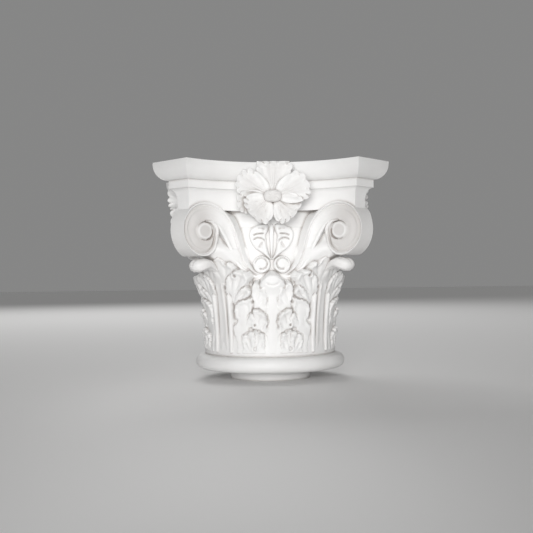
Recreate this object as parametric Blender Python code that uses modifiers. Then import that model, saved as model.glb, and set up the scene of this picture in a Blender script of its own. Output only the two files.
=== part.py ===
"""Corinthian capital cast in one piece: spigot, astragal, leafy bell, corner volutes and hollow-sided abacus.

Metres, +Z up. The origin is the centre of the spigot's underside and the front face looks along -Y.
The four faces are alike, so each carved form is shaped once for the front face or the front right
corner and turned in quarter turns. Every form is a closed shape sunk into the bell, and one Boolean
union makes them a single casting.
"""

import math

import bmesh
import bpy
from mathutils import Vector

# Heights, from the ground up
SPIGOT_HEIGHT = 0.0155
ASTRAGAL_HEIGHT = 0.0205
GROOVE_HEIGHT = 0.0050
BELL_HEIGHT = 0.1995
NECK_HEIGHT = 0.0287
FILLET_HEIGHT = 0.0108
OVOLO_HEIGHT = 0.0224
TOP_BAND_HEIGHT = 0.0026

# Turned foot and bell
SPIGOT_RADIUS = 0.059
ASTRAGAL_RADIUS = 0.1105
GROOVE_RADIUS = 0.0965
BELL_WAIST_RADIUS = 0.0920
BELL_LIP_RADIUS = 0.0935
BELL_LIP_HEIGHT = 0.0215

# Plan of the abacus: the waist is the middle of each hollow side, the reach is the cut corner
ABACUS_WAIST = 0.1110
ABACUS_REACH = 0.1935
HOLLOW_RADIUS = 0.1505
FILLET_INSET = 0.0150
NECK_INSET = 0.0238
NECK_PLAIN_HEIGHT = 0.0110

# Volutes, which stand proud of the abacus neck on the same hollow curve
VOLUTE_PROUD = 0.0047
VOLUTE_SIZE = 0.0375
VOLUTE_DROP = 0.0287
VOLUTE_OUT = 0.0945
VOLUTE_EYE = 0.0125
CHANNEL_DEPTH = 0.0055
RIM_WIDTH = 0.003
STEM_HALF_WIDTH = 0.0115
STEM_BEAD = 0.0025
HELIX_SIZE = 0.0115
HELIX_OUT = 0.0142
HELIX_RISE = 0.1242

# Leaves: the faces and corners carry one tall leaf each, whose halves meet at the parting angle
LEAF_FOOT_RADIUS = 0.0975
LEAF_FLARE = 0.0125
FACE_LEAF_HEIGHT = 0.1120
CORNER_LEAF_HEIGHT = 0.136
PARTING_ANGLE = math.radians(16.7)
LOBE_EMBED = 0.012
ROOT_SHARE = 0.8
FOOT_OVERLAP = 0.005
SCOOP_DEPTH = 0.0022
TIP_PROUD = 0.004
TIP_HALF_WIDTH = 0.0148
TIP_HALF_HEIGHT = 0.0072
LIP_REACH = 0.1535
LIP_HALF_WIDTH = 0.0155

# Flower of the abacus and the small palmette below it
FLOWER_RADIUS = 0.050
FLOWER_REACH = 0.145
FLOWER_RISE = 0.0155
BOSS_RADIUS = 0.0120
PETAL_CUP = 0.010
PETAL_ROOT_SHARE = 0.6
PETAL_ROOT_DROP = 0.004
PETAL_STAGGER = 0.0004
PALMETTE_HEIGHT = 0.048
PALMETTE_HALF_WIDTH = 0.034
PALMETTE_RELIEF = 0.0045

# Fineness of the faceted surfaces
TURNED_STEPS = 56
HOLLOW_STEPS = 8
VOLUTE_STEPS = 18
PETAL_STEPS = 12
KEPT_SHARE = 0.42

QUARTERS = [k * math.pi / 2 for k in range(4)]
ROOT_HALF = math.sqrt(0.5)

astragal_foot = SPIGOT_HEIGHT
bell_foot = astragal_foot + ASTRAGAL_HEIGHT + GROOVE_HEIGHT
neck_foot = bell_foot + BELL_HEIGHT
fillet_foot = neck_foot + NECK_HEIGHT
ovolo_foot = fillet_foot + FILLET_HEIGHT
band_foot = ovolo_foot + OVOLO_HEIGHT
capital_top = band_foot + TOP_BAND_HEIGHT
hollow_centre = ABACUS_WAIST + HOLLOW_RADIUS
face_radius = HOLLOW_RADIUS + NECK_INSET - VOLUTE_PROUD


def mix(a, b, share):
    return a + (b - a) * share


def along(values, share):
    """Reads a list of evenly spaced values as one smooth line."""
    place = min(share, 0.999999) * (len(values) - 1)
    i = int(place)
    return mix(values[i], values[i + 1], place - i)


def bezier(points, share):
    """A point on the Bezier curve through the first and last of a few control points."""
    points = [Vector(p) for p in points]
    while len(points) > 1:
        points = [a.lerp(b, share) for a, b in zip(points, points[1:])]
    return points[0]


def on_bell(angle, radius, height):
    """A place round the axis. Angle 0 is the middle of the front face and grows towards +X."""
    return Vector((radius * math.sin(angle), -radius * math.cos(angle), height))


def on_hollow(side, height, out):
    """A place on the front hollow face: side runs along its curve from the middle, out is outwards."""
    angle = side / face_radius
    radius = face_radius - out
    return Vector((radius * math.sin(angle), radius * math.cos(angle) - hollow_centre, height))


def across_corner(point):
    """The same place mirrored in the upright plane through the front right corner."""
    return Vector((-point.y, -point.x, point.z))


def towards_axis(point, radius):
    """The place straight behind a point, as seen from outside, at a radius from the axis."""
    share = radius / math.hypot(point.x, point.y)
    return Vector((point.x * share, point.y * share, point.z))


def mesh_from(name, bm):
    """A mesh of outward-facing triangles."""
    bmesh.ops.triangulate(bm, faces=bm.faces)
    bmesh.ops.recalc_face_normals(bm, faces=bm.faces)
    mesh = bpy.data.meshes.new(name)
    bm.to_mesh(mesh)
    bm.free()
    return mesh


def loft(name, rings):
    """A closed shape through rings that hold the same number of points, with flat ends."""
    bm = bmesh.new()
    rows = [[bm.verts.new(point) for point in ring] for ring in rings]
    count = len(rows[0])
    for low, high in zip(rows, rows[1:]):
        for i in range(count):
            j = (i + 1) % count
            bm.faces.new((low[i], low[j], high[j], high[i]))
    bm.faces.new(reversed(rows[0]))
    bm.faces.new(rows[-1])
    return mesh_from(name, bm)


def place_turned(mesh, turns, collection):
    """One object for each turn about the axis, all of them sharing a mesh."""
    for turn in turns:
        obj = bpy.data.objects.new(mesh.name, mesh)
        obj.rotation_euler.z = turn
        obj.hide_render = True
        obj.display_type = "WIRE"
        collection.objects.link(obj)


def tongue(name, place, root, path, half_width, lift, bead, scoop, steps):
    """A scooped blade that follows a flat path laid on a surface.

    place maps (side, height, out) to space and root maps (side, height) to the blade's buried back.
    half_width, lift and bead are lists read along the path, and bead is how much higher its outer
    edge stands than its inner one.
    """
    rings = []
    for i in range(steps + 1):
        share = i / steps
        here = bezier(path, share)
        ahead = bezier(path, min(1, share + 0.01)) - bezier(path, max(0, share - 0.01))
        across = Vector((ahead.y, -ahead.x)).normalized()
        wide = along(half_width, share)
        out = along(lift, share)
        section = (
            (-1.0, out),
            (-0.45, out - scoop),
            (0.45, out - scoop),
            (1.0, out + along(bead, share)),
        )
        ring = [place(*(here + across * wide * offset), up) for offset, up in section]
        ring += [root(*(here + across * wide * offset)) for offset in (ROOT_SHARE, -ROOT_SHARE)]
        rings.append(ring)
    return loft(name, rings)


# Section of a rib as shares of its half width and thickness, round from its left edge
STRAP_SECTION = ((-1, -0.35), (-0.55, 0), (0, -0.12), (0.55, 0), (1, -0.35), (0.7, -1), (-0.7, -1))


def strap(name, angle, line, half_width, thickness):
    """A leaf rib that climbs the bell and curls away from it. line holds (radius, height) points."""
    rings = []
    tangent = Vector((math.cos(angle), math.sin(angle), 0))
    for i, (radius, height) in enumerate(line):
        before = Vector(line[max(0, i - 1)])
        after = Vector(line[min(len(line) - 1, i + 1)])
        ahead = (after - before).normalized()
        outward = Vector((ahead.y, -ahead.x))
        wide = half_width[i]
        thick = thickness[i]
        ring = []
        for offset, depth in STRAP_SECTION:
            shifted = Vector((radius, height)) + outward * depth * thick
            ring.append(on_bell(angle, shifted.x, shifted.y) + tangent * wide * offset)
        rings.append(ring)
    return loft(name, rings)


def leaf_radius(height):
    """The leaves' face leans outwards as it climbs."""
    climb = max(0.0, (height - bell_foot) / FACE_LEAF_HEIGHT)
    return LEAF_FOOT_RADIUS + LEAF_FLARE * climb**2.2


def rib_depth(radius):
    """How deep a form on the leaf face has to be to stay rooted in the bell."""
    return radius - BELL_WAIST_RADIUS + LOBE_EMBED / 2


def on_leaf(axis_angle):
    """A mapping for forms laid on the leaf face beside a leaf's own axis."""

    def place(side, height, out):
        return on_bell(axis_angle + side / LEAF_FOOT_RADIUS, leaf_radius(height) + out, height)

    return place


def foot_and_bell(collection):
    """The turned core: spigot, half-round astragal and bell, as one profile turned about the axis."""
    lip_foot = neck_foot - BELL_LIP_HEIGHT
    hidden_top = neck_foot + NECK_HEIGHT / 2
    profile = [(0, hidden_top), (BELL_LIP_RADIUS * 0.9, hidden_top)]
    profile.append((BELL_LIP_RADIUS, neck_foot - 0.001))
    profile.append((BELL_LIP_RADIUS, lip_foot))
    profile.append((BELL_WAIST_RADIUS, lip_foot - 0.004))
    profile.append((BELL_WAIST_RADIUS, mix(bell_foot, lip_foot, 0.45)))
    profile.append((GROOVE_RADIUS, bell_foot))
    profile.append((GROOVE_RADIUS, bell_foot - GROOVE_HEIGHT * 0.7))
    half = ASTRAGAL_HEIGHT / 2
    nose = 7
    for i in range(nose + 1):
        turn = math.pi * (0.5 - i / nose)
        nose_radius = ASTRAGAL_RADIUS - half + half * math.cos(turn)
        profile.append((nose_radius, astragal_foot + half + half * math.sin(turn)))
    profile.append((SPIGOT_RADIUS, astragal_foot))
    profile += [(SPIGOT_RADIUS, 0), (0, 0)]
    bm = bmesh.new()
    corners = [bm.verts.new((radius, 0, height)) for radius, height in profile]
    for a, b in zip(corners, corners[1:]):
        bm.edges.new((a, b))
    mesh = bpy.data.meshes.new("capital")
    bm.to_mesh(mesh)
    bm.free()
    body = bpy.data.objects.new("capital", mesh)
    collection.objects.link(body)
    turn = body.modifiers.new("turn", "SCREW")
    turn.steps = turn.render_steps = TURNED_STEPS
    turn.use_merge_vertices = True
    turn.merge_threshold = 0.00001
    turn.use_smooth_shade = True
    body.modifiers.new("flat facets", "TRIANGULATE")
    return body


def abacus_outline(inset, height):
    """The abacus in plan, set in by the same amount on hollow sides and cut corners."""
    radius = HOLLOW_RADIUS + inset
    diagonal = (ABACUS_REACH - inset) / ROOT_HALF - hollow_centre
    ridge = (diagonal + math.sqrt(2 * radius**2 - diagonal**2)) / 2
    spread = math.asin(ridge / radius)
    ring = []
    for turn in QUARTERS:
        for i in range(HOLLOW_STEPS + 1):
            angle = mix(-spread, spread, i / HOLLOW_STEPS)
            x = radius * math.sin(angle)
            y = radius * math.cos(angle) - hollow_centre
            c, s = math.cos(turn), math.sin(turn)
            ring.append(Vector((x * c - y * s, x * s + y * c, height)))
    return ring


def abacus(collection):
    """Neck with a cavetto, square fillet, ovolo and thin top band, mitred round the plan."""
    rows = [(NECK_INSET, neck_foot), (NECK_INSET, neck_foot + NECK_PLAIN_HEIGHT)]
    hollow_height = NECK_HEIGHT - NECK_PLAIN_HEIGHT
    for i in range(1, 4):
        turn = math.pi / 2 * i / 3
        inset = mix(NECK_INSET, FILLET_INSET, 1 - math.cos(turn))
        rows.append((inset, neck_foot + NECK_PLAIN_HEIGHT + hollow_height * math.sin(turn)))
    for i in range(5):
        turn = math.pi / 2 * i / 4
        rows.append((FILLET_INSET * (1 - math.sin(turn)), band_foot - OVOLO_HEIGHT * math.cos(turn)))
    rows.append((0, capital_top))
    place_turned(loft("abacus", [abacus_outline(*row) for row in rows]), [0], collection)


def volute_radius(turn):
    """The scroll's outline about its eye. Turn 0 is on the side of the face's middle, a quarter is on top."""
    shares = (0.56, 0.88, 1.03, 1.0, 0.96, 0.955, 0.95, 0.76, 0.56)
    return VOLUTE_SIZE * along(shares, turn / math.tau)


def volute(collection):
    """A pair of scrolls back to back on one corner, joined by the plain outer rim."""
    centre_height = neck_foot - VOLUTE_DROP

    def ring(margin, fixed, out, opening=0.0):
        points = []
        for i in range(VOLUTE_STEPS):
            turn = math.tau * i / VOLUTE_STEPS
            radius = max(fixed, volute_radius(turn) - margin)
            side = VOLUTE_OUT - radius * math.cos(turn)
            dip = opening * math.sin(min(turn, math.pi / 2) * 2)
            points.append(on_hollow(side, centre_height + radius * math.sin(turn), out - dip))
        return points

    face = [
        ring(1, VOLUTE_EYE * 0.45, VOLUTE_PROUD * 0.4),
        ring(1, VOLUTE_EYE, -0.0005),
        ring(1, VOLUTE_EYE * 1.15, -CHANNEL_DEPTH * 0.7),
        ring(RIM_WIDTH * 2.6, VOLUTE_EYE * 1.3, -CHANNEL_DEPTH),
        ring(RIM_WIDTH, VOLUTE_EYE * 1.4, 0.0, CHANNEL_DEPTH),
        ring(0, VOLUTE_EYE * 1.5, 0.0, CHANNEL_DEPTH * 0.6),
    ]
    back = [[across_corner(point) for point in row] for row in reversed(face)]
    place_turned(loft("volute", face + back), QUARTERS, collection)


def corner_web(collection):
    """The mass between two scrolls that carries them back to the bell."""
    heart = neck_foot - VOLUTE_DROP
    levels = (
        (neck_foot + 0.004, 0.150, 0.010, 0.030),
        (heart, 0.150, 0.008, 0.026),
        (heart - 0.7 * VOLUTE_SIZE, 0.140, 0.008, 0.024),
        (heart - 1.1 * VOLUTE_SIZE, 0.120, 0.008, 0.026),
        (heart - 1.9 * VOLUTE_SIZE, 0.098, 0.006, 0.022),
    )
    tangent = Vector((ROOT_HALF, ROOT_HALF, 0))
    root = BELL_WAIST_RADIUS * 0.6
    rings = []
    for height, reach, tip_half, root_half in levels:
        ring = []
        for radius, offset in (
            (root, -root_half * 1.3),
            (mix(BELL_WAIST_RADIUS, reach, 0.3), -root_half * 0.8),
            (reach, -tip_half),
            (reach, tip_half),
            (mix(BELL_WAIST_RADIUS, reach, 0.3), root_half * 0.8),
            (root, root_half * 1.3),
        ):
            ring.append(on_bell(math.pi / 4, radius, height) + tangent * offset)
        rings.append(ring)
    place_turned(loft("corner_web", rings), QUARTERS, collection)


def stems(collection):
    """The channelled stem of each scroll, which runs down the hollow face to a small helix by the middle."""
    heart = neck_foot - VOLUTE_DROP
    helix_height = bell_foot + HELIX_RISE
    for mirror in (1, -1):

        def place(side, height, out, mirror=mirror):
            return on_hollow(side * mirror, height, out)

        def root(side, height, mirror=mirror):
            return towards_axis(on_hollow(side * mirror, height, 0), BELL_WAIST_RADIUS - LOBE_EMBED)

        path = (
            (VOLUTE_OUT - 0.20 * VOLUTE_SIZE, heart + 0.72 * VOLUTE_SIZE),
            (VOLUTE_OUT - 0.78 * VOLUTE_SIZE, heart + 0.70 * VOLUTE_SIZE),
            (VOLUTE_OUT - 1.02 * VOLUTE_SIZE, heart - 0.10 * VOLUTE_SIZE),
            (VOLUTE_OUT - 1.15 * VOLUTE_SIZE, heart - 0.55 * VOLUTE_SIZE),
            (HELIX_OUT + 2.5 * HELIX_SIZE, helix_height - 0.6 * HELIX_SIZE),
            (HELIX_OUT + 1.3 * HELIX_SIZE, helix_height - 1.6 * HELIX_SIZE),
            (HELIX_OUT - 0.9 * HELIX_SIZE, helix_height - 1.5 * HELIX_SIZE),
        )
        wide = [STEM_HALF_WIDTH * share for share in (0.9, 1.0, 0.85, 0.68, 0.6, 0.45, 0.25)]
        lift = [-CHANNEL_DEPTH, -0.0025, -0.001, 0.0, 0.0, 0.0, 0.0]
        bead = [CHANNEL_DEPTH, STEM_BEAD, STEM_BEAD, STEM_BEAD, STEM_BEAD, 0.001, 0.0]
        mesh = tongue("stem", place, root, path, wide, lift, bead, SCOOP_DEPTH, 8)
        place_turned(mesh, QUARTERS, collection)
        rings = []
        for share, out in ((1.0, -LOBE_EMBED), (1.0, 0.001), (0.7, 0.0015), (0.45, -0.0005), (0.3, 0.001)):
            ring = []
            for i in range(8):
                turn = math.tau * (i + 0.5) / 8
                radius = HELIX_SIZE * share
                ring.append(
                    place(HELIX_OUT + radius * math.cos(turn), helix_height + radius * math.sin(turn), out)
                )
            rings.append(ring)
        place_turned(loft("helix", rings), QUARTERS, collection)


def half_leaf(name, axis_angle, lobes, mirror, turns, collection):
    """The scooped lobes on one side of a leaf.

    Each lobe is (foot side, foot height, tip side, tip height, half width).
    """
    place = on_leaf(axis_angle)

    def root(side, height):
        return towards_axis(place(side, height, 0), BELL_WAIST_RADIUS - LOBE_EMBED / 2)

    for foot_side, foot_height, tip_side, tip_height, wide in lobes:
        foot = (foot_side * mirror, bell_foot + foot_height - FOOT_OVERLAP)
        rise = (mix(foot_side, tip_side, 0.12) * mirror, bell_foot + mix(foot_height, tip_height, 0.78))
        tip = (tip_side * mirror, bell_foot + tip_height)
        widths = [wide * share for share in (0.5, 0.75, 0.95, 1.0, 0.95, 0.40)]
        lift = [-0.002, -0.0015, -0.001, 0.0005, 0.003, 0.0025]
        mesh = tongue(name, place, root, (foot, rise, tip), widths, lift, [0, 0], SCOOP_DEPTH, 4)
        place_turned(mesh, turns, collection)


def face_leaves(collection):
    """The leaf in the middle of each face: a broad rib that ends in a curled tip, and three lobes a side."""
    reach = FACE_LEAF_HEIGHT
    parting = PARTING_ANGLE * LEAF_FOOT_RADIUS
    lobes = [
        (0.56 * parting, 0.0, 0.86 * parting, 0.30 * reach, 0.0085),
        (0.48 * parting, 0.16 * reach, 0.82 * parting, 0.58 * reach, 0.0095),
        (0.40 * parting, 0.42 * reach, 0.76 * parting, 0.91 * reach, 0.0095),
    ]
    for mirror in (1, -1):
        half_leaf("face_lobe", 0, lobes, mirror, QUARTERS, collection)
    line = []
    for share in (0, 0.4, 0.9):
        height = bell_foot + share * reach
        line.append((leaf_radius(height), height))
    line[0] = (line[0][0], bell_foot - FOOT_OVERLAP)
    rib = strap("face_rib", 0, line, [0.013, 0.009, 0.0065], [rib_depth(radius) for radius, _ in line])
    place_turned(rib, QUARTERS, collection)
    front = leaf_radius(bell_foot + reach) + TIP_PROUD
    rings = []
    root = BELL_WAIST_RADIUS * 0.9
    for radius, shrink in ((root, 1.0), (front - 0.007, 1.0), (front - 0.002, 0.85), (front, 0.4)):
        ring = []
        for i in range(10):
            turn = math.tau * i / 10
            height = bell_foot + 0.94 * reach + TIP_HALF_HEIGHT * shrink * math.sin(turn)
            ring.append(on_bell(0, radius, height) + Vector((TIP_HALF_WIDTH * shrink * math.cos(turn), 0, 0)))
        rings.append(ring)
    place_turned(loft("face_tip", rings), QUARTERS, collection)


def corner_leaves(collection):
    """The leaf on each corner: its rib bends out below the scrolls as a lip, with five lobes a side."""
    reach = CORNER_LEAF_HEIGHT
    parting = (math.pi / 4 - PARTING_ANGLE) * LEAF_FOOT_RADIUS
    lobes = [
        (0.80 * parting, 0.0, 0.92 * parting, 0.26 * reach, 0.0080),
        (0.60 * parting, 0.0, 0.84 * parting, 0.62 * reach, 0.0105),
        (0.50 * parting, 0.36 * reach, 0.84 * parting, 0.72 * reach, 0.0070),
        (0.40 * parting, 0.34 * reach, 0.62 * parting, 0.88 * reach, 0.0105),
        (0.27 * parting, 0.50 * reach, 0.34 * parting, 0.99 * reach, 0.0085),
    ]
    for mirror in (1, -1):
        half_leaf("corner_lobe", math.pi / 4, lobes, mirror, QUARTERS, collection)
    base = leaf_radius(bell_foot + 0.7 * reach)
    line = [
        (leaf_radius(bell_foot), bell_foot - FOOT_OVERLAP),
        (leaf_radius(bell_foot + 0.4 * reach), bell_foot + 0.4 * reach),
        (base, bell_foot + 0.68 * reach),
        (mix(base, LIP_REACH, 0.20), bell_foot + 0.81 * reach),
        (mix(base, LIP_REACH, 0.52), bell_foot + 0.89 * reach),
        (mix(base, LIP_REACH, 0.80), bell_foot + 0.885 * reach),
        (mix(base, LIP_REACH, 0.92), bell_foot + 0.84 * reach),
    ]
    wide = [LIP_HALF_WIDTH * share for share in (0.7, 0.7, 0.75, 0.85, 1.0, 1.0, 0.5)]
    thick = [rib_depth(radius) for radius, _ in line[:4]] + [0.014, 0.012, 0.006]
    place_turned(strap("corner_rib", math.pi / 4, line, wide, thick), QUARTERS, collection)


# Petals as (degrees, share of the flower's radius, half width)
PETALS = (
    (90, 0.90, 0.0240),
    (163, 1.03, 0.0205),
    (12, 1.03, 0.0205),
    (232, 0.87, 0.0205),
    (308, 0.87, 0.0205),
)
# Rings of a petal from its middle to its rim: share of its size, and how far it stands in front
PETAL_RINGS = ((0.30, -0.0020), (0.80, 0.0005), (1.0, -0.0025))


def petal(degrees, reach, half, top):
    """A rounded, cupped petal that leans outwards from the boss and runs back to the bell below top."""
    turn = math.radians(degrees)
    ahead = Vector((math.cos(turn), 0, math.sin(turn)))
    sideways = Vector((-math.sin(turn), 0, math.cos(turn)))
    middle = Vector((0, -(FLOWER_REACH - PETAL_CUP), neck_foot + FLOWER_RISE))
    root = Vector((0, -BELL_LIP_RADIUS * 0.8, middle.z + 0.004))
    start = BOSS_RADIUS * 0.7
    length = FLOWER_RADIUS * reach
    heart = mix(start, length, 0.56)
    rings = []
    for share, out in PETAL_RINGS:
        ring = []
        for i in range(PETAL_STEPS):
            around = math.tau * (i + 0.5) / PETAL_STEPS
            far = length - heart if math.cos(around) > 0 else heart - start
            along_petal = heart + far * share * math.cos(around)
            aside = half * share * math.sin(around) * (1 + 0.13 * math.cos(around))
            place = middle + ahead * along_petal + sideways * aside
            place.y -= out + PETAL_CUP * (along_petal / length)
            place.z = min(place.z, top)
            ring.append(place)
        rings.append(ring)
    back = []
    for place in rings[-1]:
        hidden = root + (place - middle) * PETAL_ROOT_SHARE
        back.append(Vector((hidden.x, root.y, min(hidden.z, top - PETAL_ROOT_DROP))))
    return loft("petal", rings + [back])


def flower(collection):
    """The open flower on the middle of each side of the abacus: a boss and five cupped petals."""
    for index, shape in enumerate(PETALS):
        place_turned(petal(*shape, capital_top - PETAL_STAGGER * (index + 1)), QUARTERS, collection)
    middle = Vector((0, -(FLOWER_REACH - PETAL_CUP), neck_foot + FLOWER_RISE))
    rings = []
    for share, out in ((1.4, -0.05), (1.0, 0.0), (0.85, 0.004), (0.4, 0.006)):
        ring = []
        for i in range(8):
            turn = math.tau * (i + 0.5) / 8
            radius = BOSS_RADIUS * share
            ring.append(middle + Vector((radius * math.cos(turn), -out, radius * 0.7 * math.sin(turn))))
        rings.append(ring)
    place_turned(loft("boss", rings), QUARTERS, collection)


def palmette(collection):
    """The small pair of curled leaves between the stems, with a stalk between them."""
    foot = bell_foot + HELIX_RISE + HELIX_SIZE * 0.6
    high = PALMETTE_HEIGHT
    wide = PALMETTE_HALF_WIDTH

    def place(side, height, out):
        return on_bell(side / BELL_WAIST_RADIUS, BELL_WAIST_RADIUS + out, height)

    def root(side, height):
        return place(side, height, -LOBE_EMBED / 2)

    for mirror in (1, -1):
        path = (
            (0.04 * wide * mirror, foot),
            (0.70 * wide * mirror, foot + 0.30 * high),
            (1.25 * wide * mirror, foot + 0.62 * high),
            (0.85 * wide * mirror, foot + 1.06 * high),
            (0.12 * wide * mirror, foot + 0.98 * high),
        )
        relief = [PALMETTE_RELIEF * share for share in (0.7, 1, 1, 1.2, 1.5)]
        widths = [0.003, 0.004, 0.006, 0.007, 0.004]
        mesh = tongue("palmette", place, root, path, widths, relief, [0, 0], 0.001, 5)
        place_turned(mesh, QUARTERS, collection)
        path = (
            (0.14 * wide * mirror, foot + 0.20 * high),
            (0.20 * wide * mirror, foot + 0.62 * high),
            (0.62 * wide * mirror, foot + 0.66 * high),
        )
        mesh = tongue("palmette_lobe", place, root, path, [0.002, 0.005, 0.004], relief, [0, 0], 0.001, 2)
        place_turned(mesh, QUARTERS, collection)
    path = ((0, foot - 0.002), (0, foot + 0.98 * high))
    relief = [PALMETTE_RELIEF] * 3
    mesh = tongue("stalk", place, root, path, [0.0015, 0.003, 0.0025], relief, [0, 0], -0.001, 1)
    place_turned(mesh, QUARTERS, collection)


def plaster():
    material = bpy.data.materials.new("white plaster")
    material.use_nodes = True
    shader = material.node_tree.nodes["Principled BSDF"]
    shader.inputs["Base Color"].default_value = (0.86, 0.85, 0.84, 1)
    shader.inputs["Roughness"].default_value = 0.6
    shader.inputs["Metallic"].default_value = 0.0
    return material


def main():
    for obj in list(bpy.data.objects):
        bpy.data.objects.remove(obj)
    casting = bpy.data.collections.new("corinthian capital")
    carving = bpy.data.collections.new("carving")
    for collection in (casting, carving):
        bpy.context.scene.collection.children.link(collection)
    body = foot_and_bell(casting)
    body.data.materials.append(plaster())
    for carve in (abacus, corner_web, volute, stems, face_leaves, corner_leaves, flower, palmette):
        carve(carving)
    union = body.modifiers.new("one casting", "BOOLEAN")
    union.operation = "UNION"
    union.solver = "EXACT"
    union.operand_type = "COLLECTION"
    union.collection = carving
    body.modifiers.new("joined facets", "TRIANGULATE")
    thin = body.modifiers.new("broad facets", "DECIMATE")
    thin.ratio = KEPT_SHARE


main()
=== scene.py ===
"""Corinthian capital in white plaster: its carved surfaces, their finish, the stage and the camera.

Metres, +Z up, the front face looks along -Y. Flat drawings of the carving are in millimetres.
"""

import math
from collections import namedtuple

import bmesh
import bpy
import numpy as np
from bpy.props import FloatProperty, FloatVectorProperty, PointerProperty
from bpy.types import Operator, Panel, PropertyGroup
from mathutils import Matrix, Vector


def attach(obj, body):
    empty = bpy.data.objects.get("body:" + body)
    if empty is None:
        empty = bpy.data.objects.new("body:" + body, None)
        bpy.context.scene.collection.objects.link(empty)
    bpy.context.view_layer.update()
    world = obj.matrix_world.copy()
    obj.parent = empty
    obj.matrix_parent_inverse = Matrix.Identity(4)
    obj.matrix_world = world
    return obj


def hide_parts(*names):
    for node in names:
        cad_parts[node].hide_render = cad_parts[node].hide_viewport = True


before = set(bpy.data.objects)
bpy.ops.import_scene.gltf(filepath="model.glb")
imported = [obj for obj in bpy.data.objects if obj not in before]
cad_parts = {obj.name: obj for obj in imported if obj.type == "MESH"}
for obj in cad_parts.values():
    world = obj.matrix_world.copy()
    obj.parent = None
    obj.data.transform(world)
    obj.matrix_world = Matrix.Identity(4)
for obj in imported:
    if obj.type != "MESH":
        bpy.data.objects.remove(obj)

bl_info = {
    "name": "Corinthian capital",
    "version": (1, 0, 0),
    "blender": (4, 5, 0),
    "location": "View3D > Sidebar > Capital",
    "description": "Builds a plaster corinthian capital with its stage, light and camera",
    "category": "Add Mesh",
}

CAPITAL = "capital"
MM = 0.001
QUARTERS = [k * math.pi / 2 for k in range(4)]

# Heights and radii in metres, shared with the solid
ASTRAGAL_FOOT = 0.0155
ASTRAGAL_HEIGHT = 0.0205
BELL_FOOT = 0.041
NECK_FOOT = 0.2405
NECK_PLAIN_TOP = 0.2515
FILLET_FOOT = 0.2692
OVOLO_FOOT = 0.280
BAND_FOOT = 0.3024
CAPITAL_TOP = 0.305
SPIGOT_RADIUS = 0.059
ASTRAGAL_RADIUS = 0.1105
GROOVE_RADIUS = 0.0965
BELL_RADIUS = 0.0920
BELL_LIP_RADIUS = 0.0935
HOLLOW_RADIUS = 0.1505
HOLLOW_CENTRE = 0.2615
ABACUS_REACH = 0.1935
FILLET_INSET = 0.0150
NECK_INSET = 0.0238
FACE_RADIUS = 0.1696
LEAF_FOOT_RADIUS = 0.0975
LEAF_FLARE = 0.0125
LEAF_CLIMB = 0.112
LEAF_PLAN_RADIUS = 103.0
SECTOR = math.radians(45) * LEAF_PLAN_RADIUS
# Length in mm of one degree on the plan of the leaves
DEGREE = LEAF_PLAN_RADIUS * math.radians(1)
INNER_WALL = 0.080
# Points a span of a groove's line, and the share of it that fades at each end
STROKE_SPAN = 6
STROKE_FADE = 0.15
TINY = 1e-12


def mix(a, b, share):
    """Part of the way from a to b."""
    return a + (b - a) * share


def ramp(value, low, high):
    """Rises smoothly from 0 at low to 1 at high."""
    share = np.clip((np.asarray(value, float) - low) / (high - low), 0, 1)
    return share * share * (3 - 2 * share)


def bump(value, middle, wide):
    """A round hump of height 1 at middle that falls off over wide."""
    return np.exp(-(((value - middle) / wide) ** 2))


def spline(points, per_span, closed=False):
    """A smooth line through the given points."""
    points = np.asarray(points, float)
    if closed:
        ends = np.vstack([points[-1:], points, points[:2]])
    else:
        ends = np.vstack([2 * points[0] - points[1], points, 2 * points[-1] - points[-2]])
    line = []
    for i in range(1, len(ends) - 2):
        p0, p1, p2, p3 = ends[i - 1 : i + 3]
        for share in np.linspace(0, 1, per_span, endpoint=False):
            bend = (2 * p0 - 5 * p1 + 4 * p2 - p3) * share**2 + (3 * p1 - p0 - 3 * p2 + p3) * share**3
            line.append((2 * p1 + (p2 - p0) * share + bend) / 2)
    if not closed:
        line.append(ends[-2])
    return np.array(line)


def gaps_to_spans(x, y, starts, steps):
    """Gap from each place to each straight span of a line, and the share of the span where it is nearest."""
    px, py = x.reshape(-1, 1), y.reshape(-1, 1)
    (ax, ay), (ex, ey) = starts.T, steps.T
    share = np.clip(((px - ax) * ex + (py - ay) * ey) / (ex * ex + ey * ey + TINY), 0, 1)
    return np.hypot(px - ax - share * ex, py - ay - share * ey), share


def inside_distance(x, y, outline):
    """How far each place is inside a closed outline, negative outside."""
    steps = np.roll(outline, -1, axis=0) - outline
    gap = gaps_to_spans(x, y, outline, steps)[0].min(axis=1)
    px, py = x.reshape(-1, 1), y.reshape(-1, 1)
    (ax, ay), (ex, ey) = outline.T, steps.T
    crosses = (ay > py) != (np.roll(ay, -1) > py)
    reach = ax + (py - ay) * ex / np.where(ey == 0, TINY, ey)
    inside = (crosses & (px < reach)).sum(axis=1) % 2 == 1
    return np.where(inside, gap, -gap).reshape(x.shape)


def soft_edge(depth, wide, fall, wall):
    """Drop in mm near an edge: rounded within wide of it, and steep beyond it."""
    return -fall * np.clip(1 - depth / wide, 0, 1) ** 2 + np.minimum(depth, 0) * wall


def stroke(x, y, points, wide, deep):
    """A groove cut along a smooth line, fading at its ends."""
    line = spline(points, STROKE_SPAN)
    gap, share = gaps_to_spans(x, y, line[:-1], np.diff(line, axis=0))
    nearest = gap.argmin(axis=1)
    row = np.arange(len(nearest))
    along = (nearest + share[row, nearest]) / (len(line) - 1)
    fade = ramp(along, 0, STROKE_FADE) * (1 - ramp(along, 1 - STROKE_FADE, 1))
    return (-deep * bump(gap[row, nearest], 0, wide) * fade).reshape(x.shape)


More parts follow.
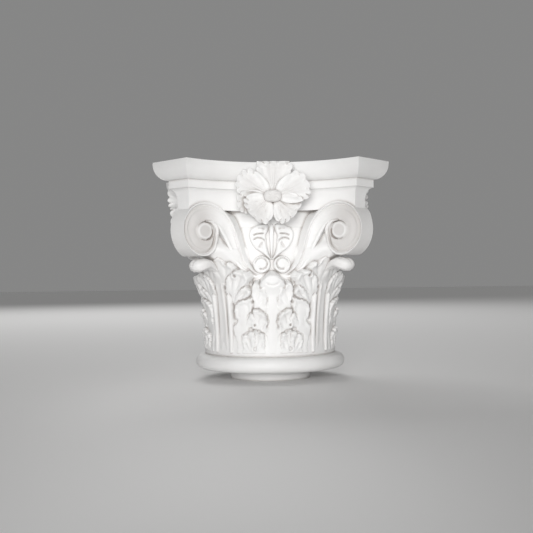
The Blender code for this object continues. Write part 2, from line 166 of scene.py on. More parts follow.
def hand_cut(x, y):
    """Places shifted a little to and fro, so that edges drawn through them look hand cut."""
    shift_x = 0.6 * np.sin(0.62 * y + 0.5 * x) + 0.3 * np.sin(1.35 * y - 0.3 * x)
    shift_y = 0.5 * np.sin(0.8 * x - 0.45 * y) + 0.25 * np.sin(1.5 * x + 0.3 * y)
    return x + shift_x, y + shift_y


def on_bell(angle, radius, height):
    """Places round the axis. Angle 0 is the middle of the front face and grows towards +X."""
    return np.stack(np.broadcast_arrays(radius * np.sin(angle), -radius * np.cos(angle), height), axis=-1)


def on_hollow(side, height, out):
    """Places on the front hollow face: side runs along the curve, out is towards the viewer."""
    angle = np.asarray(side) / FACE_RADIUS
    radius = FACE_RADIUS - out
    return np.stack(
        np.broadcast_arrays(radius * np.sin(angle), radius * np.cos(angle) - HOLLOW_CENTRE, height), axis=-1
    )


def across_corner(points):
    """The same places mirrored in the upright plane through the front right corner."""
    return np.stack([-points[..., 1], -points[..., 0], points[..., 2]], axis=-1)


def corner_place(reach, height, offset):
    """Places in mm beside the upright plane through the front right corner."""
    aside = np.multiply.outer(offset, (math.sqrt(0.5), math.sqrt(0.5), 0)) * MM
    return on_bell(math.pi / 4, reach * MM, np.asarray(height) * MM) + aside


def turned(points, angle):
    """Places turned about the axis."""
    c, s = math.cos(angle), math.sin(angle)
    x, y = points[..., 0], points[..., 1]
    return np.stack([x * c - y * s, x * s + y * c, points[..., 2]], axis=-1)


def mirrored(points):
    """Places mirrored left to right."""
    return points * np.array([-1.0, 1.0, 1.0])


class Shell:
    """Closed shapes gathered for one mesh."""

    def __init__(self):
        self.points = []
        self.dust = []
        self.faces = []
        self.count = 0

    def rings(self, rows, wrap_rows=False, dust=0.0):
        """A closed shape through rings of points, with flat ends unless the rings close on themselves."""
        rows = np.asarray(rows, float)
        high, wide = rows.shape[:2]
        index = np.arange(high * wide).reshape(high, wide) + self.count
        low_rows = index if wrap_rows else index[:-1]
        high_rows = np.roll(index, -1, axis=0) if wrap_rows else index[1:]
        quads = np.stack(
            [low_rows, np.roll(low_rows, -1, axis=1), np.roll(high_rows, -1, axis=1), high_rows], axis=-1
        )
        self.faces += quads.reshape(-1, 4).tolist()
        if not wrap_rows:
            self.faces += [index[0][::-1].tolist(), index[-1].tolist()]
        self.points.append(rows.reshape(-1, 3))
        self.dust.append(np.broadcast_to(dust, rows.shape[:2]).ravel())
        self.count += high * wide

    def each_quarter(self, rows, **kind):
        """The same closed shape on all four sides."""
        for angle in QUARTERS:
            self.rings(turned(np.asarray(rows, float), angle), **kind)

    def build(self, name, sharp_degrees=42.0):
        """The gathered shapes as one object with outward faces."""
        mesh = bpy.data.meshes.new(name)
        mesh.from_pydata(np.vstack(self.points).tolist(), [], self.faces)
        bm = bmesh.new()
        bm.from_mesh(mesh)
        bmesh.ops.recalc_face_normals(bm, faces=bm.faces)
        bm.to_mesh(mesh)
        bm.free()
        # Each point carries an amount of painted shade, which darkens the plaster's colour
        dust = mesh.attributes.new("dust", "FLOAT", "POINT")
        dust.data.foreach_set("value", np.concatenate(self.dust).astype(np.float32))
        mesh.shade_smooth()
        mesh.set_sharp_from_angle(angle=math.radians(sharp_degrees))
        obj = bpy.data.objects.new(name, mesh)
        bpy.context.scene.collection.objects.link(obj)
        return obj


def finish_piece(obj, material):
    """Gives a piece its plaster and its place in the frame."""
    obj.data.materials.append(material)
    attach(obj, "root")
    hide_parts(CAPITAL)


# Hollows narrower than this many metres get painted shade, which begins and is full at these shares of
# openness
CREVICE_REACH = 0.0055
PAINTED_SHADE_BEGINS, PAINTED_SHADE_FULL = 0.95, 0.32
# Strength of the painted shade in hollows, of the random mottle, and the roughness that they add
HOLLOW_SHADE = 0.72
MOTTLE_DUST = 0.10
SHADE_AND_MOTTLE_ROUGHNESS = 0.25
TOOTH_HEIGHT = 0.0004


def add_node(tree, kind, values=(), **settings):
    """A new node with its settings and input values."""
    node = tree.nodes.new(kind)
    for name, value in settings.items():
        setattr(node, name, value)
    for name, value in values:
        node.inputs[name].default_value = value
    return node


def relief_group():
    """Fine tooth of cast plaster with painted shade in its hollows and on marked points, and faint random
    mottle, shared by every plaster surface.
    """
    group = bpy.data.node_groups.get("cast plaster surface")
    if group:
        return group
    group = bpy.data.node_groups.new("cast plaster surface", "ShaderNodeTree")
    for name, kind, default in (
        ("Light Colour", "Color", (0.86, 0.85, 0.84, 1)),
        ("Shade Colour", "Color", (0.50, 0.46, 0.43, 1)),
        ("Mottle Scale", "Float", 18.0),
        ("Grain Scale", "Float", 1500.0),
        ("Rough", "Float", 0.62),
    ):
        socket = group.interface.new_socket(name, in_out="INPUT", socket_type=f"NodeSocket{kind}")
        socket.default_value = default
    for name, kind in (("Colour", "Color"), ("Roughness", "Float"), ("Height", "Float")):
        group.interface.new_socket(name, in_out="OUTPUT", socket_type=f"NodeSocket{kind}")
    entry = add_node(group, "NodeGroupInput")
    leave = add_node(group, "NodeGroupOutput")
    place = add_node(group, "ShaderNodeTexCoord")
    mottle = add_node(group, "ShaderNodeTexNoise", [("Detail", 4)])
    grain = add_node(group, "ShaderNodeTexNoise", [("Detail", 3)])
    # Ambient occlusion finds creases and recesses, where the colour is darkened as painted shade
    crevice = add_node(group, "ShaderNodeAmbientOcclusion", [("Distance", CREVICE_REACH)], samples=8)
    closed = [("From Min", PAINTED_SHADE_BEGINS), ("From Max", PAINTED_SHADE_FULL)]
    hollow = add_node(group, "ShaderNodeMapRange", closed, interpolation_type="SMOOTHSTEP")
    patches = [("From Min", 0.42), ("From Max", 0.72), ("To Max", MOTTLE_DUST)]
    uneven = add_node(group, "ShaderNodeMapRange", patches)
    # Painted shade of the hollows plus faint random mottle
    dust = add_node(group, "ShaderNodeMath", [(1, HOLLOW_SHADE)], operation="MULTIPLY_ADD", use_clamp=True)
    # Painted shade given point by point; with the above it pulls the colour towards the shade colour
    vertex_shade = add_node(group, "ShaderNodeAttribute", attribute_name="dust")
    dusty = add_node(group, "ShaderNodeMath", operation="ADD", use_clamp=True)
    tone = add_node(group, "ShaderNodeMix", data_type="RGBA")
    satin = add_node(group, "ShaderNodeMath", [(1, SHADE_AND_MOTTLE_ROUGHNESS)], operation="MULTIPLY_ADD")
    for start, output, end, entrance in (
        (place, "Object", mottle, "Vector"),
        (place, "Object", grain, "Vector"),
        (entry, "Mottle Scale", mottle, "Scale"),
        (entry, "Grain Scale", grain, "Scale"),
        (crevice, "AO", hollow, "Value"),
        (mottle, "Fac", uneven, "Value"),
        (hollow, "Result", dust, 0),
        (uneven, "Result", dust, 2),
        (dust, "Value", dusty, 0),
        (vertex_shade, "Fac", dusty, 1),
        (dusty, "Value", tone, "Factor"),
        (entry, "Light Colour", tone, "A"),
        (entry, "Shade Colour", tone, "B"),
        (tone, "Result", leave, "Colour"),
        (dust, "Value", satin, 0),
        (entry, "Rough", satin, 2),
        (satin, "Value", leave, "Roughness"),
        (grain, "Fac", leave, "Height"),
    ):
        group.links.new(start.outputs[output], end.inputs[entrance])
    return group


def plaster_material(look):
    """Matt white casting plaster."""
    material = bpy.data.materials.get("white casting plaster")
    if material:
        return material
    material = bpy.data.materials.new("white casting plaster")
    material.use_nodes = True
    tree = material.node_tree
    shader = tree.nodes["Principled BSDF"]
    tones = [("Light Colour", (*look.plaster_colour, 1)), ("Shade Colour", (*look.shade_colour, 1))]
    # The surface group darkens the plaster towards the shade colour as painted shade
    surface = add_node(tree, "ShaderNodeGroup", tones, node_tree=relief_group())
    surface.inputs["Rough"].default_value = look.roughness
    tooth = add_node(tree, "ShaderNodeBump", [("Strength", look.grain), ("Distance", TOOTH_HEIGHT)])
    tree.links.new(surface.outputs["Colour"], shader.inputs["Base Color"])
    tree.links.new(surface.outputs["Roughness"], shader.inputs["Roughness"])
    tree.links.new(surface.outputs["Height"], tooth.inputs["Height"])
    tree.links.new(tooth.outputs["Normal"], shader.inputs["Normal"])
    shader.inputs["IOR"].default_value = 1.5
    return material


def core_rows():
    """Profile of the turned core from the top of the bell down to the middle of the spigot's underside."""
    lip_top, lip_foot = NECK_FOOT - 0.0005, NECK_FOOT - 0.0215
    profile = [(0.001, 0.255), (INNER_WALL, 0.255), (BELL_LIP_RADIUS, lip_top)]
    for share in np.linspace(0, 1, 6)[1:]:
        profile.append((BELL_LIP_RADIUS, mix(lip_top, lip_foot, share)))
    for share in np.linspace(0, 1, 6)[1:]:
        profile.append((mix(BELL_LIP_RADIUS, BELL_RADIUS, ramp(share, 0, 1)), lip_foot - 0.003 * share))
    for share in np.linspace(0, 1, 24)[1:]:
        height = mix(lip_foot - 0.003, BELL_FOOT, share)
        profile.append((mix(BELL_RADIUS, GROOVE_RADIUS, ramp(share, 0.6, 1.0)), height))
    profile += [(GROOVE_RADIUS + 0.0006, BELL_FOOT - 0.0012), (GROOVE_RADIUS - 0.0002, BELL_FOOT - 0.0036)]
    half = ASTRAGAL_HEIGHT / 2
    for turn in np.linspace(math.pi / 2, -math.pi / 2, 25):
        profile.append(
            (ASTRAGAL_RADIUS - half + half * math.cos(turn), ASTRAGAL_FOOT + half + half * math.sin(turn))
        )
    profile += [(SPIGOT_RADIUS + 0.0008, ASTRAGAL_FOOT), (SPIGOT_RADIUS, ASTRAGAL_FOOT - 0.0008)]
    profile += [(SPIGOT_RADIUS, 0.0008), (SPIGOT_RADIUS - 0.0008, 0.0), (0.001, 0.0)]
    return profile


def core():
    """Spigot, half-round astragal, groove and bell."""
    angles = np.linspace(0, math.tau, 192, endpoint=False)
    shell = Shell()
    shell.rings([on_bell(angles, radius, height) for radius, height in core_rows()])
    return shell.build("turned_core")


def abacus_outline(inset, height):
    """The abacus in plan, set in by the same amount on hollow sides and cut corners."""
    radius = HOLLOW_RADIUS + inset
    diagonal = (ABACUS_REACH - inset) * math.sqrt(2) - HOLLOW_CENTRE
    ridge = (diagonal + math.sqrt(2 * radius**2 - diagonal**2)) / 2
    spread = math.asin(ridge / radius)
    angles = np.linspace(-spread, spread, 41)
    x, y = radius * np.sin(angles), radius * np.cos(angles) - HOLLOW_CENTRE
    side = np.stack([x, y, np.full(angles.shape, height)], axis=-1)
    return np.vstack([turned(side, angle) for angle in QUARTERS])


def abacus():
    """Plain neck, cavetto, fillet, ovolo and top band, mitred round the hollow-sided plan."""
    rows = [(NECK_INSET + 0.02, NECK_FOOT), (NECK_INSET, NECK_FOOT), (NECK_INSET, NECK_PLAIN_TOP)]
    for turn in np.linspace(0, math.pi / 2, 9)[1:]:
        inset = mix(NECK_INSET, FILLET_INSET, 1 - math.cos(turn))
        rows.append((inset, mix(NECK_PLAIN_TOP, FILLET_FOOT, math.sin(turn))))
    rows.append((FILLET_INSET, OVOLO_FOOT - 0.0002))
    for turn in np.linspace(0, math.pi / 2, 13):
        rows.append((FILLET_INSET * (1 - math.sin(turn)), mix(BAND_FOOT, OVOLO_FOOT, math.cos(turn))))
    rows += [(0.0001, CAPITAL_TOP - 0.00003), (0.03, CAPITAL_TOP - 0.00003)]
    rings = [abacus_outline(*row) for row in rows]
    to_axis = np.array([0.01, 0.01, 1.0])
    shell = Shell()
    shell.rings([rings[0] * to_axis] + rings + [rings[-1] * to_axis])
    obj = shell.build("abacus_mouldings", 30.0)
    bevel = obj.modifiers.new("worn arrises", "BEVEL")
    bevel.width = 0.0007
    bevel.segments = 2
    bevel.limit_method = "ANGLE"
    bevel.angle_limit = math.radians(30)
    return obj


# Pairs of (side, height) in mm on the two edges of a ribbon, from the middle of a face up to its scroll
BAND_EDGES = (
    ((-1.0, 155.6), (-1.0, 147.0)), ((8.0, 154.2), (10.0, 146.6)), ((16.9, 154.0), (21.0, 147.0)),
    ((23.0, 156.0), (31.0, 150.2)), ((29.5, 161.0), (39.5, 156.2)), ((34.6, 168.0), (46.5, 163.5)),
    ((39.2, 178.0), (53.0, 175.0)), ((43.3, 192.5), (58.8, 187.5)), ((47.0, 205.5), (64.2, 198.6)),
    ((50.6, 216.0), (69.6, 208.0)), ((55.4, 226.4), (75.0, 215.2)), ((62.5, 235.6), (81.0, 220.6)),
    ((71.8, 243.0), (86.2, 223.4)), ((82.6, 248.6), (90.4, 224.5)),
)
# The scroll's heart as (side, height) in mm, and the ribbon round it as (degrees, outer radius, inner radius)
SCROLL_HEART = (94.5, 211.9)
SCROLL_TURNS = (
    (90, 38.8, 13.0), (112, 38.2, 12.8), (135, 37.2, 12.6), (157, 35.8, 12.4), (180, 34.9, 12.4),
    (202, 34.6, 12.6), (225, 34.6, 12.9), (247, 34.8, 13.1), (264, 34.5, 13.3), (279, 33.0, 13.5),
    (299, 28.2, 13.7), (321, 22.2, 13.8), (345, 19.7, 13.8), (365, 19.6, 13.6), (388, 18.2, 13.3),
    (415, 16.2, 13.0), (450, 13.8, 12.4),
)
# Foot of the ribbon's flank on the bell, as (side, height) in mm
FLANK_FOOT = (
    (0, 154), (9, 153), (14, 153.5), (19.5, 156), (25, 162), (30.9, 170),
    (37.4, 192.7), (42.4, 211.6), (48.6, 228), (55.4, 240), (64, 247), (74, 251),
)
# Steps across the ribbon in mm from its free rim and from its slit side, close together at the bead
RIM_STEPS = np.array([0.0, 0.3, 0.7, 1.1, 1.5, 1.9, 2.3, 2.8, 3.4])
SLIT_STEPS = np.array([1.8, 1.1, 0.5, 0.0])
FLANK_SHARES = (0.0, 0.3, 0.6, 0.85, 0.96)
PER_SPAN = 7
# Share of painted shade in the channel and on the coil of a scroll, and on its flank
CHANNEL_SHADE = 0.40
FLANK_SHADE = 0.12
# Rings of the coil's hidden side as (radius, height over its face), and the coil's open radii, in mm
COIL_SIDE = ((15.6, -14.0), (15.6, -7.0), (15.2, -5.2), (14.4, -4.0))
COIL_RADII = np.linspace(13.8, 0.3, 26)
COIL_POINTS = 88
# The mass between two scrolls as (height, reach from the axis, set-back from the faces, half width outside)
WEB_LEVELS = (
    (252.0, 149, 13.0, 11.0), (240.0, 150, 13.0, 11.0), (212.0, 149, 13.5, 10.0),
    (200.0, 146, 12.5, 10.0), (193.0, 142, 7.0, 10.0), (186.0, 136, 2.6, 10.0), (178.0, 126, 1.6, 10.0),
    (168.0, 114, 2.0, 10.0), (157.0, 102, 4.0, 9.0), (146.0, 97, 6.0, 8.0), (134.0, 95, 8.0, 7.0),
)
# Half width in mm between the two scroll faces against the reach from the axis
WEB_REACHES = (55, 105, 118, 128, 142, 152)
WEB_HALVES = (48, 35.3, 29.2, 25.2, 20.8, 18.4)


def on_scroll(side, height, out):
    """Places on the face of a scroll: it stands clear of the neck and leans back a little below it."""
    lean = 0.0022 * ramp(side, 0.098, 0.130) * (1 - ramp(height, 0.222, 0.240))
    return on_hollow(side, height, np.asarray(out) + 0.0016 * ramp(side, 0.058, 0.072) - lean)


def ribbon_profile(gap, wide, rolled, ending):
    """How far the ribbon's face stands out, in mm, at each distance from its face-side rim."""
    share = gap / wide
    bead = 1.9 * (1 - 0.7 * ending) * (bump(gap, 1.4, 1.05) - 1)
    cut = -0.9 * bump(gap, 3.9, 1.0) * (1 - ending)
    channel = mix(1.8, 4.3, rolled) * (1 - 0.8 * ending)
    floor = -channel * np.sin(math.pi * share ** mix(0.9, 0.62, rolled))
    second = 1.0 * bump(gap, 8.2, 1.3) * rolled * (1 - ending)
    ridge = 1.0 * bump(wide - gap, 3.4, 1.2) * (1 - rolled)
    slit_side = -1.6 * np.clip(1 - (wide - gap) / 1.8, 0, 1) ** 2 * (1 - rolled)
    coil_side = -1.9 * rolled * ramp(share, 0.7, 1.0)
    return bead + cut + floor + second + ridge + slit_side + coil_side


def ribbon_rows():
    """Sections of the ribbon that climbs from the middle of a face and rolls up, and the painted shade on
    them.
    """
    outer, inner = (list(edge) for edge in zip(*BAND_EDGES))
    for degrees, far, near in SCROLL_TURNS:
        turn = math.radians(degrees)
        ahead = np.array([-math.cos(turn), math.sin(turn)])
        outer.append(SCROLL_HEART + far * ahead)
        inner.append(SCROLL_HEART + near * ahead)
    outer, inner = spline(outer, PER_SPAN), spline(inner, PER_SPAN)
    top_station = len(BAND_EDGES) * PER_SPAN
    foot = spline(FLANK_FOOT, 24)
    foot = foot[np.linspace(0, len(foot) - 1, top_station + 1).astype(int)]
    rows, dust = [], []
    for i, (rim, slit) in enumerate(zip(outer, inner)):
        rolled = float(ramp(i, top_station - 4 * PER_SPAN, top_station + PER_SPAN))
        ending = float(ramp(i, len(outer) - 5 * PER_SPAN, len(outer) - 1))
        wide = np.linalg.norm(slit - rim)
        shrink = min(1.0, wide / 9)
        near_rim = RIM_STEPS * shrink
        near_slit = wide - SLIT_STEPS * shrink
        rest = np.linspace(near_rim[-1], near_slit[0], 16)[1:-1]
        gap = np.concatenate([near_rim, rest, near_slit])
        out = ribbon_profile(gap, wide, rolled, ending) * MM
        line = rim + np.outer(gap / wide, slit - rim)
        face = on_scroll(line[:, 0] * MM, line[:, 1] * MM, out)
        middle = (face[0] + across_corner(face[0])) / 2
        if i <= top_station:
            foot_side, foot_height = foot[i] * MM
            foot_angle = math.asin(on_hollow(foot_side, 0, 0)[0] * 0.985 / BELL_RADIUS)
            at_bell = on_bell(foot_angle, BELL_RADIUS - 0.001, foot_height)
            in_bell = on_bell(foot_angle, BELL_RADIUS - 0.012, foot_height)
        at_bell = mix(at_bell, mix(face[0], middle, 0.7), rolled)
        in_bell = mix(in_bell, middle, rolled)
        wall = [in_bell] + [mix(at_bell, face[0], share) for share in FLANK_SHARES]
        deep = -mix(0.030, 0.016, rolled)
        slit_at = line[-1] * MM
        levels = (out[-1] - 0.002, out[-1] - 0.005, deep * 0.6, deep)
        down = [on_scroll(slit_at[0], slit_at[1], level) for level in levels]
        rows.append(np.vstack([wall, face, down]))
        # Painted shade in the channel of the scroll and on its flank
        in_channel = ramp(gap, 2.4, 5.0) * rolled * CHANNEL_SHADE
        on_wall = [FLANK_SHADE * rolled] * len(wall)
        dust.append(np.concatenate([on_wall, in_channel, [in_channel[-1]] * len(down)]))
    return np.array(rows), np.array(dust)


def coil_rows():
    """The coil that the ribbon runs into, a low dome set off by a crescent and short arcs, and its painted
    shade.
    """
    turns = np.linspace(0, math.tau, COIL_POINTS, endpoint=False)
    # Angles run up from the side towards the middle of the face: the top is 90, the bottom is -90
    wound = (np.degrees(turns) + 180) % 360 - 180
    crescent = ramp(wound, -100, -62) * (1 - ramp(wound, -5, 34))
    crescent_at = mix(12.8, 9.6, ramp(wound, -75, 25))
    on_top = ramp(wound, 40, 75) * (1 - ramp(wound, 125, 165))
    below = ramp(wound, -130, -112) * (1 - ramp(wound, -98, -84))
    rim_at = 9.4 - 1.2 * np.cos(np.radians(wound - 20))
    rings = list(COIL_SIDE)
    dust = [np.full(turns.shape, CHANNEL_SHADE)] * len(COIL_SIDE)
    for radius in COIL_RADII:
        dome = -0.6 - 2.5 * (radius / 13.4) ** 3.0
        rim = 1.0 * bump(radius, rim_at, 1.6) * (1 - on_top * 0.4)
        cut = 3.6 * crescent * bump(radius, crescent_at, 1.35)
        cut = cut + 2.6 * on_top * bump(radius, 12.8, 0.95)
        cut = cut + 1.6 * below * bump(radius, 12.8, 0.9)
        rings.append((radius, dome + rim - cut))
        # Painted shade on the coil, less on its raised rim
        dust.append(CHANNEL_SHADE * (1 - 0.7 * bump(radius, rim_at, 1.5)))
    rows = []
    for radius, out in rings:
        side = SCROLL_HEART[0] - radius * np.cos(turns)
        height = SCROLL_HEART[1] + radius * np.sin(turns)
        rows.append(on_scroll(side * MM, height * MM, out * MM))
    return np.array(rows), np.array(dust)


def web_rows():
    """The mass between two scrolls that carries them back to the bell, with a pocket beside each coil."""
    rows = []
    for height, reach, inset, tip in spline(WEB_LEVELS, 5):
        half = []
        for share in np.linspace(0, 1, 16):
            radius = mix(WEB_REACHES[0], reach, share)
            face = np.interp(radius, WEB_REACHES, WEB_HALVES)
            offset = mix(face - inset, min(face - inset, tip + 4), ramp(share, 0.8, 1.0))
            # Above the slit the mass narrows towards the bell, clear of the ribbon's flank
            offset = offset * mix(1, mix(0.5, 1, ramp(radius, 92, 124)), ramp(height, 194, 216))
            half.append((radius, offset))
        half += [(reach + 2.0, half[-1][1] * 0.8), (reach + 3.0, half[-1][1] * 0.45)]
        reaches, offsets = np.array(half + [(radius, -offset) for radius, offset in reversed(half)]).T
        rows.append(corner_place(reaches, height, offsets))
    return np.array(rows)


def scrolls():
    """The corner scrolls with their ribbons and coils, and the mass behind them."""
    shell = Shell()
    for rows, dust in (ribbon_rows(), coil_rows()):
        shell.each_quarter(rows, dust=dust)
        shell.each_quarter(mirrored(rows), dust=dust)
    shell.each_quarter(web_rows())
    return shell.build("scrolls")


Lobe = namedtuple("Lobe", "foot low high fingers outline")

# Lobes of half a face leaf and half a corner leaf. Feet and outlines are (degrees from the face's middle,
# height in mm over the bell's foot), low and high are the relief in mm at the foot and at the free edge
FACE_LOBES = (
    Lobe((16, 60), -3.0, 3.6, 3, (
        (14.9, 98), (14.0, 100.6), (11.1, 101.6), (8.9, 99.4), (8.2, 95.4), (6.4, 95.4), (5.2, 91),
        (4.6, 84), (5.0, 76), (4.4, 68), (6.4, 60), (10, 54), (14, 52), (17.2, 60), (17.4, 74),
        (16.6, 90),
    )),
    Lobe((16, 24), -3.0, 4.4, 3, (
        (16.4, 62), (14.4, 64.4), (11.6, 65.2), (8.2, 61.7), (5.4, 55.6), (4.4, 49), (5.2, 42),
        (5.0, 36), (6.4, 26), (10, 18), (16.5, 22), (17.4, 45),
    )),
    Lobe((15.6, -8), -1.5, 4.4, 3, (
        (16.4, 33.4), (12.8, 35.6), (9.6, 32.4), (7.2, 30), (6.2, 25), (6.8, 18), (6.4, 10), (7.4, -4),
        (17.2, -4), (17.2, 15),
    )),
)
CORNER_LOBES = (
    Lobe((38, 92), -4.0, 8.0, 3, (
        (48, 123), (42.4, 132.6), (38.4, 138), (35.6, 136), (33.9, 130.8), (31.2, 128.8), (28.9, 124.6),
        (28.6, 119.5), (33, 106), (38, 92), (44, 96), (47, 110),
    )),
    Lobe((34.5, 74), -3.4, 5.0, 3, (
        (36.4, 106), (32.4, 113.2), (28.2, 117.2), (24.0, 118), (20.4, 115.6), (18.4, 110.1),
        (18.1, 104.1), (19.6, 99.5), (23.6, 94), (29.5, 83), (34, 70), (38.5, 76), (39.0, 92),
    )),
    Lobe((32, 68), -3.0, 4.4, 2, (
        (24.6, 92.6), (21.2, 96.3), (18.4, 95.5), (17.2, 90), (18.0, 84), (21.2, 79.6), (25.8, 76.5),
        (30, 70), (32.5, 76), (28.5, 87),
    )),
    Lobe((20, 24), -2.6, 4.2, 4, (
        (17.4, 83), (20, 79.8), (25.6, 76.9), (29.4, 72.6), (31.4, 67), (31.6, 57.5), (29.6, 50),
        (31.0, 44.8), (33.8, 42.6), (34.4, 37), (31.9, 22.3), (31.1, 10), (30.5, -4), (24, -4),
        (21, 24), (19.5, 46), (17.2, 60), (16.2, 74),
    )),
    Lobe((20.5, 32), -3.0, 3.6, 1, (
        (19.1, 57.2), (17.4, 59.8), (15.7, 58.4), (15.4, 50), (17.8, 41), (21.0, 40), (20.8, 50),
    )),
    Lobe((15.6, -8), -1.5, 4.2, 3, (
        (15.5, 33.6), (17, 34.4), (21, 32.4), (25.6, 27), (25.6, 20), (24.9, 12), (25.6, -4),
        (15.4, -4), (15.4, 15),
    )),
)
# Drilled eyes as (degrees, height, radius, depth), each with a small raised ring round it
EYES = (
    (15.4, 76.4, 1.3, 4.6), (14.8, 43.8, 1.3, 4.6), (14.9, 8.8, 2.2, 4.0),
    (39.5, 95.9, 2.4, 4.5), (28.5, 112.7, 1.8, 5.5), (33.5, 128.3, 1.8, 5.5),
)
# Degrees from the middle of the face, and the height of the plain blade's top there
BLADE_TOP = ((0, 4, 8, 15, 18, 24, 30, 38, 45), (104, 100, 100, 98, 112, 115, 122, 134, 132))
# Heights of a face leaf's midrib and of a corner leaf's rib and stalk, with the relief or half widths there
MIDRIB = ((0, 60, 90, 104), (-0.6, -1.8, -1.0, 1.0))
CORNER_RIB = ((0, 42, 63, 80, 112, 132), (9.6, 9.0, 8.0, 7.0, 7.0, 9.0))
STALK = ((0, 45, 84, 88), (3.4, 3.8, 3.0, 0.0))
STALK_DEGREES = 36.6
SLIT_LINE = ((50, 64, 76), (33.7, 34.0, 33.6))
# Relief of a place that carries no form, and the slope at which a blade ends
NO_FORM = -40.0
BLADE_END = 2.4
# Of a lobe: depth of its notches and flutes, its hollow, the width of its rounded edge and its wall's slope
LOBE_NOTCH = 2.6
LOBE_FLUTE = 2.2
LOBE_HOLLOW = 2.2
LOBE_EDGE = 2.2
LOBE_WALL = 3.2
# The feet of the leaves are drawn this much higher than they stand
LEAF_DROP = 3.0
RING_TOP = 143.0
# Share of painted shade on the leaves near each corner, under the scrolls
CORNER_LEAF_SHADE = 0.12
# The tip of a corner leaf as (reach from the axis, height, half width, half thickness) in mm
LIP_LINE = (
    (94, 118, 6.0, 4.0), (97, 134, 7.0, 4.2), (100.5, 147, 7.2, 4.2), (107, 156.5, 7.2, 4.6),
    (117, 162.8, 8.4, 5.6), (129, 166.8, 12.4, 7.6), (139, 166.4, 14.0, 9.4),
    (146.5, 163.8, 12.4, 9.4), (151.6, 161.2, 8.2, 6.8), (153.6, 159.8, 2.6, 2.4),
)
LIP_POINTS = 44
# Share of painted shade on a corner leaf's tip
LIP_SHADE = 0.08


def lobe_relief(x, y, depth, outline, shape):
    """Relief in mm of a leaf lobe: it rises from its foot to a curled free edge and is fluted like a hand."""
    foot_x, foot_y = shape.foot[0] * DEGREE, shape.foot[1]
    turn = np.arctan2(x - foot_x, y - foot_y)
    outline_turn = np.arctan2(outline[:, 0] - foot_x, outline[:, 1] - foot_y)
    far = np.hypot(outline[:, 0] - foot_x, outline[:, 1] - foot_y)
    spread = outline_turn[far > 0.55 * far.max()]
    share = np.clip((turn - spread.min()) / (np.ptp(spread) + 1e-9), 0, 1)
    climb = np.clip(np.hypot(x - foot_x, y - foot_y) / far.max(), 0, 1)
    between = np.abs(np.cos(math.pi * shape.fingers * share)) ** 4
    depth = depth - LOBE_NOTCH * between * ramp(climb, 0.6, 0.95)
    body = mix(shape.low, shape.high, climb**1.3)
    body = body - LOBE_FLUTE * between * ramp(climb, 0.25, 0.75) * ramp(depth, -1.0, 2.5)
    body = body - LOBE_HOLLOW * ramp(depth, 1.5, 6.5) * ramp(climb, 0.3, 0.75)
    return body + soft_edge(depth, LOBE_EDGE, 1.8, LOBE_WALL)


def rib_relief(x, height, middle, halves, crown):
    """Relief in mm of a smooth upright rib whose half width changes with height."""
    gap = np.interp(height, *halves) - np.abs(x - middle)
    return crown - 0.010 * (x - middle) ** 2 + soft_edge(gap, 2.6, 2.4, 2.2)


def eye_relief(x, height, degrees, eye_height, radius, deep):
    """Relief in mm of a drilled eye and the raised ring round it."""
    gap = np.hypot(x - degrees * DEGREE, height - eye_height)
    hole = -deep * (1 - ramp(gap, radius * 0.45, radius * 1.35))
    return hole + 1.1 * bump(gap, radius + 2.6, 1.3)


def face_tip(x, height):
    """Relief in mm of a face leaf's tip, a low arch bent forward with a crease across it, and its edge."""
    edge = 112.9 - 0.040 * x**2 - height
    tip = mix(-1.4, 4.8, ramp(height, 82, 103)) - 0.018 * x**2 - 2.0 * np.clip(1 - edge / 2.4, 0, 1) ** 2
    tip = tip - 2.0 * bump(height, 98.6 + 0.05 * x**2, 1.2) * (1 - ramp(x, 6, 10.5))
    return np.where((x < 20) & (height > 82), tip + np.minimum(edge, 0) * 3.0, NO_FORM), edge


def leaf_relief(x, height):
    """Relief in mm of one eighth of the leaf ring. x runs from the face's middle to the corner's."""
    height = height + LEAF_DROP * ramp(height, 0, 25)
    blade_top = np.interp(x / DEGREE, *BLADE_TOP)
    relief = np.maximum(-5.6 + np.minimum(blade_top - 3 - height, 0) * BLADE_END, NO_FORM)
    # The midrib of a face leaf is a smooth strip that lies between the free edges of its lobes
    face_rib = np.interp(height, *MIDRIB) - 0.016 * x**2 + np.minimum(104 - height, 0) * BLADE_END
    relief = np.where(x < 17, np.maximum(relief, face_rib), relief)
    for shape in FACE_LOBES + CORNER_LOBES:
        outline = spline([(degrees * DEGREE, up) for degrees, up in shape.outline], 8, closed=True)
        depth = inside_distance(*hand_cut(x, height), outline)
        # The leaf behind falls back just beyond a free edge, which leaves a dark line round the lobe
        behind = relief - 2.4 * bump(depth, -1.2, 1.1) * ramp(height - shape.foot[1], 6, 30)
        relief = np.maximum(behind, lobe_relief(x, height, depth, outline, shape))
    from_corner = SECTOR - x
    corner_rib = rib_relief(x, height, SECTOR, CORNER_RIB, -0.4)
    corner_rib = corner_rib - 1.4 * bump(from_corner, 0, 5.0) + np.minimum(134 - height, 0) * BLADE_END
    stalk = rib_relief(x, height, STALK_DEGREES * DEGREE, STALK, 1.2)
    behind = 2.2 * bump(stalk, -3.4, 1.8) * (height < STALK[0][-1])
    relief = np.maximum.reduce([relief - behind, stalk, corner_rib])
    for eye in EYES:
        relief = relief + eye_relief(x, height, *eye)
    slit_gap = np.abs(x - np.interp(height, *SLIT_LINE) * DEGREE)
    slit = (1 - ramp(slit_gap, 0.6, 2.2)) * ramp(height, 50, 56) * (1 - ramp(height, 70, 76))
    tip, edge = face_tip(x, height)
    behind = 2.2 * bump(edge, -1.2, 1.2) * (1 - ramp(x, 14, 18))
    relief = np.maximum(relief - 6.0 * slit - behind, tip)
    return relief + 6.0 * ramp(height, 104, 130) * bump(from_corner, 0, 9.0)


def leaf_radius(height):
    """The leaves' face in metres at a height in mm above the bell's foot."""
    return LEAF_FOOT_RADIUS + LEAF_FLARE * np.clip(height / (LEAF_CLIMB / MM), 0, None) ** 2.2


